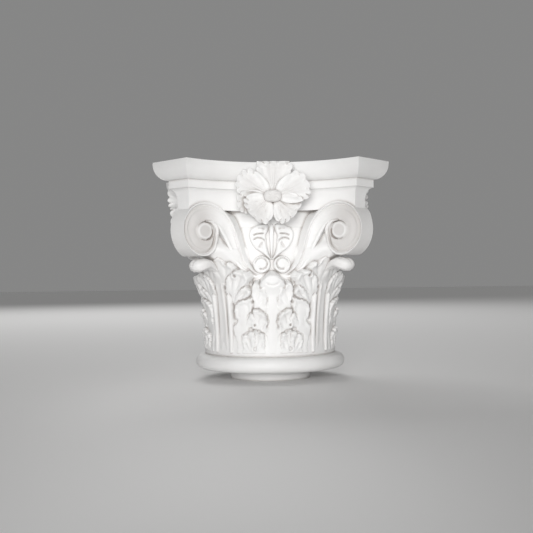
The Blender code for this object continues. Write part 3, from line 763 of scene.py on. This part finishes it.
def leaf_ring(look):
    """The ring of leaves as one carved surface: face and corner leaves are mirror images about their ribs."""
    pitch = look.carving_pitch / MM
    across = int(round(SECTOR / pitch))
    heights = np.arange(1.0, RING_TOP, pitch * 1.03)
    x, height = np.meshgrid(np.linspace(0, SECTOR, across + 1), heights)
    radius = np.maximum(leaf_radius(height) + leaf_relief(x, height) * MM, BELL_RADIUS - 0.004)
    radius[0] = radius[-1] = BELL_RADIUS - 0.006
    column = np.arange(8 * across) % (2 * across)
    column = np.where(column > across, 2 * across - column, column)
    angles = np.arange(8 * across) * math.tau / (8 * across)
    rings = [on_bell(angles, INNER_WALL, BELL_FOOT + heights[0] * MM)]
    rings += [on_bell(angles, radius[i][column], BELL_FOOT + h * MM) for i, h in enumerate(heights)]
    rings.append(on_bell(angles, INNER_WALL, BELL_FOOT + heights[-1] * MM))
    # Painted shade on the leaves near each corner
    near_corner = 1 - ramp(SECTOR * (1 - column / across), 8, 22)
    shell = Shell()
    shell.rings(rings, wrap_rows=True, dust=CORNER_LEAF_SHADE * near_corner)
    shell.each_quarter(lip_rows(), dust=LIP_SHADE)
    return shell.build("leaf_ring", 70.0)


def lip_rows():
    """A corner leaf's tip, a blade that springs from the rib, widens below the scrolls and bends down."""
    line = spline(LIP_LINE, 6)
    turns = np.linspace(0, math.tau, LIP_POINTS, endpoint=False)
    side, lift = np.cos(turns), np.sin(turns)
    crease = 0.42 * bump(side, 0, 0.22) * np.where(lift < 0, 1.0, -0.5)
    flute = 0.22 * bump(np.abs(side), 0.62, 0.15) * np.where(lift < 0, 1.0, -0.3)
    flat = np.abs(lift) ** 0.7 * np.copysign(1, lift) + crease + flute
    rows = []
    for i, (radius, height, wide, thick) in enumerate(line):
        ahead = line[min(i + 1, len(line) - 1)][:2] - line[max(i - 1, 0)][:2]
        ahead = ahead / np.linalg.norm(ahead)
        reach = radius - ahead[1] * thick * flat
        rows.append(corner_place(reach, height + ahead[0] * thick * flat, side * wide))
    return np.array(rows)


# Petals as (degrees up from level right, length, half width, reach from the axis) in mm
PETALS = (
    (193, 49, 15.0, 142.6), (86, 55, 24.0, 141), (151, 53, 18.5, 143.5),
    (321, 39, 22.5, 144), (221, 39, 22.5, 145.5), (20, 51, 20.5, 146.5),
)
PETAL_START = 5.0
PETAL_POINTS = 156
# Rings of a petal as shares of its outline: over its face, round its rim with their drop in mm, and its root
PETAL_FACE = (0.03, 0.12, 0.22, 0.33, 0.45, 0.56, 0.66, 0.75, 0.83, 0.90)
PETAL_RIM = (
    (0.945, 0.25), (0.975, 0.8), (0.992, 1.6), (1.0, 2.6),
    (0.99, 4.2), (0.93, 8.0), (0.85, 14.0), (0.76, 24.0),
)
PETAL_ROOT = (0.62, 84.0)
# Height of the flower's middle, and the height at which its petals are cut straight, in mm
FLOWER_HEIGHT = 256.0
FLOWER_TOP = 302.6
# Rings of the boss in the flower's middle as (share of its outline, reach from the axis in mm)
BOSS_LEVELS = (
    (1.5, 90), (1.25, 125), (1.06, 135), (1.0, 139.5), (0.99, 141.5), (0.95, 142.8),
    (0.87, 143.7), (0.74, 144.2), (0.55, 144.3), (0.35, 144.2), (0.15, 144.0), (0.02, 143.9),
)
BOSS_HALVES = (11.8, 8.0)
BOSS_POINTS = 64
# Share of painted shade on the boss and in the cups of the petals
BOSS_SHADE = 0.28
PETAL_CUP_SHADE = 0.20


def blunted(wave, power):
    """A wave raised to a power with its sign kept, which squares up a circle."""
    return np.sign(wave) * np.abs(wave) ** power


def petal_rows(degrees, length, half, reach):
    """Rings of a petal from its middle out over its ruffled rim and back to the neck of the abacus."""
    turn = np.linspace(0, math.tau, PETAL_POINTS, endpoint=False)
    heart = mix(PETAL_START, length, 0.58)
    cos, sin = np.cos(turn), np.sin(turn)
    far = np.where(cos > 0, length - heart, heart - PETAL_START)
    tipward = ramp(cos, -0.5, 0.35)
    scallop = np.abs(np.cos(5.5 * turn + 0.6 * np.sin(2 * turn + degrees))) ** 0.7
    swell = 1 + 0.11 * (scallop - 0.8) * tipward
    rim_along = far * blunted(cos, 0.86)
    rim_across = half * blunted(sin, 0.86) * (1 + 0.16 * cos)
    c, s = math.cos(math.radians(degrees)), math.sin(math.radians(degrees))
    # A petal that would pass the top of the abacus ends in a straight edge there
    rise = (rim_along * s + rim_across * c) * swell
    room = FLOWER_TOP - FLOWER_HEIGHT - heart * s
    cut = np.where(rise > room, room / np.maximum(rise, 0.01), 1.0)

    def ring(share, drop, root=None):
        # The scallops die out behind the rim, where the petal grows from the neck
        edge = share * cut * mix(swell, 1, ramp(drop, 3, 9) if root is None else 1.0)
        along = heart + rim_along * edge
        across = rim_across * edge
        vein = np.cos(np.arctan2(across, along - PETAL_START + 4) * 23)
        out = reach - 9.5 * np.clip(1 - along / length, 0, 1) ** 1.4
        out = out - 5.6 * (1 - share**3) * ramp(along, PETAL_START, heart)
        out = out + 3.6 * (scallop - 0.6) * tipward * ramp(share, 0.6, 1.0)
        out = out + 0.8 * vein * ramp(along, PETAL_START + 2, PETAL_START + 12) * (1 - ramp(share, 0.8, 0.95))
        out = out - 1.5 * bump(share, 0.87, 0.06) * tipward * (1.1 - scallop)
        out = out - drop if root is None else np.full(turn.shape, root)
        x = along * c - across * s
        return np.stack([x, -out, along * s + across * c + FLOWER_HEIGHT], axis=-1)

    rows = [ring(share, 0.0) for share in PETAL_FACE]
    rows += [ring(share, drop) for share, drop in PETAL_RIM]
    rows.append(ring(PETAL_ROOT[0], 0.0, PETAL_ROOT[1]))
    return np.array(rows) * MM


def flowers():
    """The open flower in the middle of each side of the abacus."""
    shell = Shell()
    for petal in PETALS:
        rows = petal_rows(*petal)
        # Painted shade in the petal's cup, fading out towards its rim
        cup_shade = PETAL_CUP_SHADE * (1 - ramp(np.arange(len(rows)), 2, 8))
        shell.each_quarter(rows, dust=cup_shade[:, None])
    turns = np.linspace(0, math.tau, BOSS_POINTS, endpoint=False)
    rows = []
    for share, out in BOSS_LEVELS:
        x = BOSS_HALVES[0] * share * blunted(np.cos(turns), 0.75)
        z = FLOWER_HEIGHT + BOSS_HALVES[1] * share * blunted(np.sin(turns), 0.75)
        rough = 0.5 * np.cos(turns * 7 + share * 9) * ramp(share, 0.1, 0.5) * (share < 0.98)
        rows.append(np.stack([x, -(out + rough), z], axis=-1) * MM)
    shell.each_quarter(rows, dust=BOSS_SHADE)
    return shell.build("abacus_flowers", 60.0)


# Heart of the helix as (side, height), and the panel's half width and its heights, in mm
HELIX = (14.0, 165.7)
PANEL_HALF = 33.6
PANEL_HEIGHTS = (150.0, 226.0)
# One half of the palmette as (side, height) in mm, and the cuts that part its fingers: line, width, depth
PALMETTE_LEAF = (
    (1.5, 173.0), (7.0, 177.0), (13.0, 182.0), (22.0, 188.4), (28.0, 197.0), (30.6, 206.0), (29.4, 212.8),
    (25.2, 217.4), (18.3, 220.0), (12.0, 221.3), (6.6, 221.6), (4.6, 218.0), (5.8, 211.6), (8.2, 207.0),
    (7.6, 200.0), (7.2, 191.0), (4.4, 181.0),
)
PALMETTE_CUTS = (
    (((25.2, 206.0), (21.5, 207.9), (17.0, 208.7), (8.0, 208.8)), 1.0, 2.8),
    (((25.0, 199.0), (22.6, 201.8), (19.0, 203.0), (14.0, 202.2), (10.0, 199.4), (7.6, 194.5)), 1.0, 2.7),
    (((9.0, 214.5), (13.0, 216.2), (19.0, 215.8)), 0.9, 1.7),
    (((12.5, 197.5), (15.5, 192.5), (17.0, 189.5)), 1.4, 2.0),
)
# Heights of the palmette's stalk and its half widths there
PALMETTE_STALK = ((173, 182, 200, 216, 221), (0.8, 1.5, 2.7, 3.4, 1.8))


def palmette_relief(side, z):
    """Relief in mm of the palmette and its stalk."""
    leaf = inside_distance(side, z, spline(PALMETTE_LEAF, 8, closed=True))
    form = 4.8 + soft_edge(leaf, 2.4, 2.4, 3.4) - 1.4 * ramp(leaf, 3.0, 7.5)
    for points, wide, deep in PALMETTE_CUTS:
        form = form + stroke(side, z, points, wide, deep)
    stalk = 2.8 + soft_edge(np.interp(z, *PALMETTE_STALK) - side, 2.0, 1.4, 3.2)
    foot, top = PALMETTE_STALK[0][0], PALMETTE_STALK[0][-1]
    return np.maximum(form, stalk + (np.minimum(top - z, 0) + np.minimum(z - foot, 0)) * 2.2)


def helix_relief(side, z):
    """Relief in mm of the small scroll beside the middle of a face."""
    gap = np.hypot(side - HELIX[0], z - HELIX[1])
    turn = np.degrees(np.arctan2(z - HELIX[1], side - HELIX[0])) % 360
    body = 5.0 + soft_edge(11.6 - gap, 2.2, 1.8, 3.2)
    # The groove winds from the outer side round the bottom towards the middle of the face
    wound = (turn + 30) % 360
    groove_at = np.interp(wound, (0, 120, 230, 300, 360), (9.4, 9.4, 7.2, 6.2, 5.8))
    fade = ramp(wound, 10, 60) * (1 - ramp(wound, 315, 345))
    return body - 2.6 * fade * bump(gap, groove_at, 1.1) + 0.9 * bump(gap, 0, 4.0)


def face_panel(look):
    """The small palmette and the two helices under it, in low relief on the bell."""
    pitch = look.panel_pitch / MM
    x, z = np.meshgrid(np.arange(-PANEL_HALF, PANEL_HALF + 0.01, pitch), np.arange(*PANEL_HEIGHTS, pitch))
    side = np.abs(x)
    relief = np.maximum(-6.0, np.maximum(palmette_relief(side, z), helix_relief(side, z)))
    radius = BELL_RADIUS + np.interp(z, (218, 221), (0, 0.0012)) + relief * MM
    angle = x * MM / BELL_RADIUS
    front = on_bell(angle, radius, z * MM)
    back = on_bell(angle, np.full(x.shape, INNER_WALL), z * MM)
    shell = Shell()
    shell.each_quarter(np.concatenate([front, back[:, ::-1]], axis=1))
    return shell.build("face_palmettes", 70.0)


class CapitalLook(PropertyGroup):
    """Finish of the plaster and fineness of the carving."""

    plaster_colour: FloatVectorProperty(
        name="Plaster colour", description="Tone of the open surfaces", subtype="COLOR",
        default=(0.88, 0.875, 0.868), min=0, max=1,
    )
    # Colour of the painted shade in hollows and on marked points, and of the random mottle
    shade_colour: FloatVectorProperty(
        name="Hollow colour", description="Tone of dusty hollows", subtype="COLOR",
        default=(0.36, 0.325, 0.30), min=0, max=1,
    )
    roughness: FloatProperty(
        name="Roughness", description="Of the bare plaster", subtype="FACTOR", default=0.55, min=0, max=1
    )
    grain: FloatProperty(
        name="Grain", description="Strength of the fine tooth", subtype="FACTOR", default=0.12, min=0, max=1
    )
    carving_pitch: FloatProperty(
        name="Carving pitch", description="Grid of the leaf ring", unit="LENGTH", default=0.00105,
        min=0.0005, max=0.005, precision=5,
    )
    panel_pitch: FloatProperty(
        name="Panel pitch", description="Grid of the palmettes", unit="LENGTH", default=0.0007,
        min=0.0003, max=0.005, precision=5,
    )


class CapitalView(PropertyGroup):
    """Camera and light of the stage."""

    distance: FloatProperty(
        name="Distance", description="Camera to the axis", unit="LENGTH", default=1.2225, min=0.5, max=10
    )
    eye_height: FloatProperty(
        name="Eye height", description="Camera above the floor", unit="LENGTH", default=0.1442, min=0, max=5
    )
    lens: FloatProperty(
        name="Lens", description="Focal length", unit="CAMERA", default=55.05, min=10, max=300
    )
    yaw: FloatProperty(
        name="Yaw", description="Camera round the axis, leftwards", unit="ROTATION", default=math.radians(2.3)
    )
    tilt: FloatProperty(
        name="Tilt", description="Camera tilted up", unit="ROTATION", default=math.radians(0.95)
    )
    roll: FloatProperty(name="Roll", description="Camera rolled", unit="ROTATION", default=math.radians(0.68))
    aside: FloatProperty(
        name="Aside", description="Camera moved to its left", unit="LENGTH", default=0.00375, min=-1, max=1
    )
    key_power: FloatProperty(
        name="Key light", description="Power of the key light", unit="POWER", default=0.76, min=0
    )
    fill_power: FloatProperty(
        name="Fill light", description="Power of the fill light", unit="POWER", default=1.5, min=0
    )
    back_power: FloatProperty(
        name="Back light", description="Power of the back light", unit="POWER", default=40.0, min=0
    )
    sky: FloatProperty(name="Sky", description="Strength of the even light", default=0.25, min=0)


class CapitalOperator:
    """What the operators of the pieces share."""

    bl_options = {"REGISTER", "UNDO"}

    def add(self, obj):
        if not obj.data.polygons:
            raise RuntimeError(f"{obj.name} has no surface")
        finish_piece(obj, plaster_material(bpy.context.scene.capital_look))
        return {"FINISHED"}


class CAPITAL_OT_core(CapitalOperator, Operator):
    """Adds the spigot, astragal and bell"""

    bl_idname = "capital.core"
    bl_label = "Turned core"

    def execute(self, context):
        return self.add(core())


class CAPITAL_OT_abacus(CapitalOperator, Operator):
    """Adds the mouldings of the hollow-sided abacus"""

    bl_idname = "capital.abacus"
    bl_label = "Abacus"

    def execute(self, context):
        return self.add(abacus())


class CAPITAL_OT_scrolls(CapitalOperator, Operator):
    """Adds the corner scrolls and their ribbons"""

    bl_idname = "capital.scrolls"
    bl_label = "Scrolls"

    def execute(self, context):
        return self.add(scrolls())


class CAPITAL_OT_leaves(CapitalOperator, Operator):
    """Adds the ring of acanthus leaves"""

    bl_idname = "capital.leaves"
    bl_label = "Leaves"

    def execute(self, context):
        return self.add(leaf_ring(context.scene.capital_look))


class CAPITAL_OT_palmettes(CapitalOperator, Operator):
    """Adds the palmettes and helices in the middle of each face"""

    bl_idname = "capital.palmettes"
    bl_label = "Palmettes"

    def execute(self, context):
        return self.add(face_panel(context.scene.capital_look))


class CAPITAL_OT_flowers(CapitalOperator, Operator):
    """Adds the flowers of the abacus"""

    bl_idname = "capital.flowers"
    bl_label = "Flowers"

    def execute(self, context):
        return self.add(flowers())


# Places and sizes of the lights in metres, the point that they aim at, and the narrow beam of the key light
LIGHT_AIM = (0, 0, 0.17)
KEY_PLACE, KEY_SIZE, KEY_SPREAD = (-0.10, -1.10, 0.24), 0.32, math.radians(52)
FILL_PLACE, FILL_SIZE = (1.5, -1.0, 0.40), 1.2
BACK_PLACE, BACK_SIZE = (-0.6, 2.6, 2.4), 2.0
FLOOR_HALF = 12.0
FLOOR_COLOUR = (0.88, 0.875, 0.87, 1)
SKY_COLOUR = (0.96, 0.96, 0.955, 1)


def area_light(name, place, size, power):
    """A square light that looks at the capital."""
    light = bpy.data.lights.new(name, "AREA")
    light.size = size
    light.energy = power
    obj = bpy.data.objects.new(name, light)
    obj.location = place
    obj.rotation_euler = (Vector(LIGHT_AIM) - Vector(place)).to_track_quat("-Z", "Y").to_euler()
    bpy.context.scene.collection.objects.link(obj)
    return obj


class CAPITAL_OT_stage(Operator):
    """Adds the pale floor, the soft light and the camera"""

    bl_idname = "capital.stage"
    bl_label = "Stage"

    def execute(self, context):
        view = context.scene.capital_view
        mesh = bpy.data.meshes.new("floor")
        corners = [(x * FLOOR_HALF, y * FLOOR_HALF, 0) for x, y in ((-1, -1), (1, -1), (1, 1), (-1, 1))]
        mesh.from_pydata(corners, [], [(0, 1, 2, 3)])
        floor = bpy.data.objects.new("floor", mesh)
        context.scene.collection.objects.link(floor)
        paint = bpy.data.materials.new("pale floor")
        paint.use_nodes = True
        shader = paint.node_tree.nodes["Principled BSDF"]
        shader.inputs["Base Color"].default_value = FLOOR_COLOUR
        shader.inputs["Roughness"].default_value = 0.9
        mesh.materials.append(paint)
        world = bpy.data.worlds.new("even light")
        world.use_nodes = True
        background = world.node_tree.nodes["Background"]
        background.inputs["Color"].default_value = SKY_COLOUR
        background.inputs["Strength"].default_value = view.sky
        context.scene.world = world
        key = area_light("key light", KEY_PLACE, KEY_SIZE, view.key_power)
        key.data.spread = KEY_SPREAD
        area_light("fill light", FILL_PLACE, FILL_SIZE, view.fill_power)
        area_light("back light", BACK_PLACE, BACK_SIZE, view.back_power)
        context.scene.view_settings.view_transform = "Standard"
        camera = bpy.data.cameras.new("camera")
        camera.lens = view.lens
        obj = bpy.data.objects.new("camera", camera)
        c, s = math.cos(view.yaw), math.sin(view.yaw)
        x = -view.distance * s - view.aside * c
        obj.location = (x, -view.distance * c + view.aside * s, view.eye_height)
        ahead = Vector((s * math.cos(view.tilt), c * math.cos(view.tilt), math.sin(view.tilt)))
        roll = Matrix.Rotation(view.roll, 3, Vector((0, 0, -1)))
        obj.rotation_euler = (ahead.to_track_quat("-Z", "Y").to_matrix() @ roll).to_euler()
        context.scene.collection.objects.link(obj)
        context.scene.camera = obj
        return {"FINISHED"}


class CAPITAL_PT_panel(Panel):
    """Lists the pieces of the capital"""

    bl_label = "Corinthian capital"
    bl_space_type = "VIEW_3D"
    bl_region_type = "UI"
    bl_category = "Capital"

    def draw(self, context):
        for piece in PIECES:
            self.layout.operator(piece.bl_idname)
        for group in (context.scene.capital_look, context.scene.capital_view):
            for name in group.__annotations__:
                self.layout.prop(group, name)


PIECES = (
    CAPITAL_OT_core,
    CAPITAL_OT_abacus,
    CAPITAL_OT_scrolls,
    CAPITAL_OT_leaves,
    CAPITAL_OT_palmettes,
    CAPITAL_OT_flowers,
    CAPITAL_OT_stage,
)
CLASSES = (CapitalLook, CapitalView) + PIECES + (CAPITAL_PT_panel,)


def register():
    for kind in CLASSES:
        bpy.utils.register_class(kind)
    bpy.types.Scene.capital_look = PointerProperty(type=CapitalLook)
    bpy.types.Scene.capital_view = PointerProperty(type=CapitalView)


def unregister():
    del bpy.types.Scene.capital_view
    del bpy.types.Scene.capital_look
    for kind in reversed(CLASSES):
        bpy.utils.unregister_class(kind)


def main():
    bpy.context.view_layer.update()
    register()
    for piece in PIECES:
        area, name = piece.bl_idname.split(".")
        getattr(getattr(bpy.ops, area), name)()


if __name__ == "__main__":
    main()
